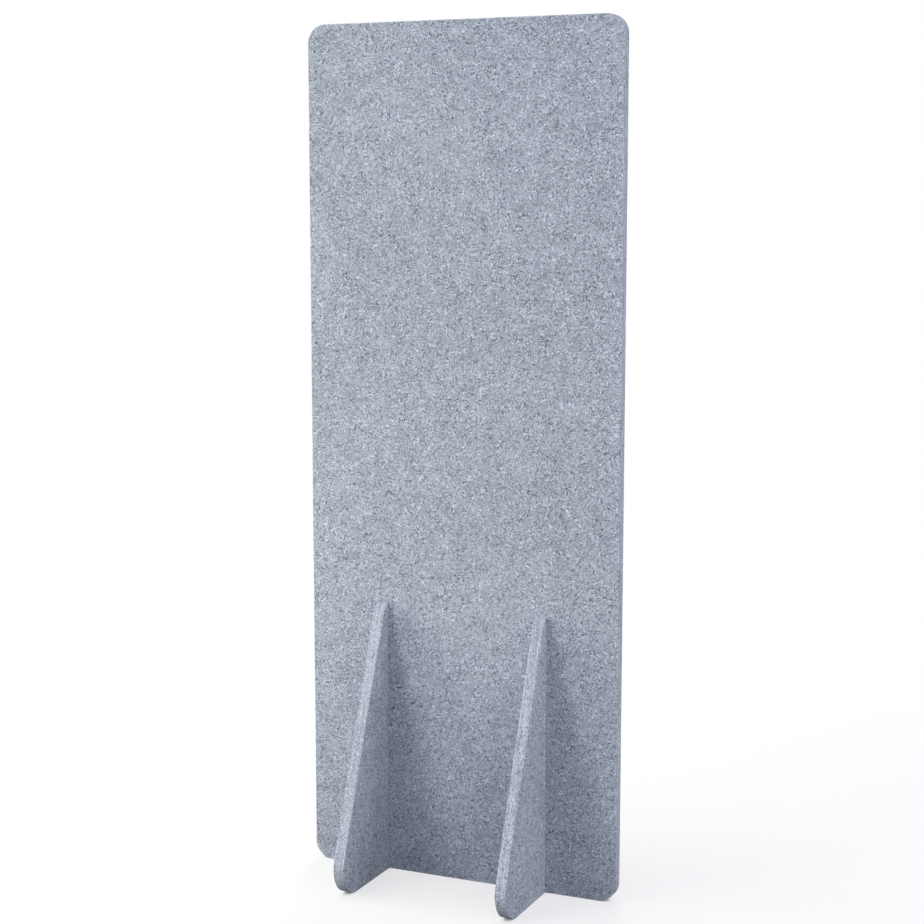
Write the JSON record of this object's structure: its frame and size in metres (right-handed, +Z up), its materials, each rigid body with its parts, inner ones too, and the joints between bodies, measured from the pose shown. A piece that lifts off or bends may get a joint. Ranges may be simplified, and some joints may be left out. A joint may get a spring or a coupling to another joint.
{
  "type": "acoustic divider screen",
  "caption": "Tall felt divider panel with rounded corners, held upright by slotted triangular felt feet that cross it in half-lap joints.",
  "frame": {"origin": "on the floor, under the middle of the panel's width and thickness", "axes": "+Z up, +X along the panel to the right of someone facing its front, +Y from the panel's front to its back"},
  "size_m": [0.7, 0.452, 1.8],
  "materials": {
    "felt": "matt needled polyester felt board, grey-blue heather"
  },
  "bodies": {
    "panel_body": {"panel": "felt"},
    "left_foot_body": {"left_foot": "felt"},
    "right_foot_body": {"right_foot": "felt"}
  },
  "joints": [
    {"name": "panel_lift", "type": "slide", "parent": "left_foot_body", "child": "panel_body", "axis": [0, 0, 1], "range_m": [0, 0.6]},
    {"name": "right_foot_slide", "type": "slide", "parent": "panel_body", "child": "right_foot_body", "axis": [0, 0, -1], "range_m": [0, 0.6]}
  ],
  "couplings": [
    {"joint": "right_foot_slide", "follows": "panel_lift", "ratio": 1}
  ]
}
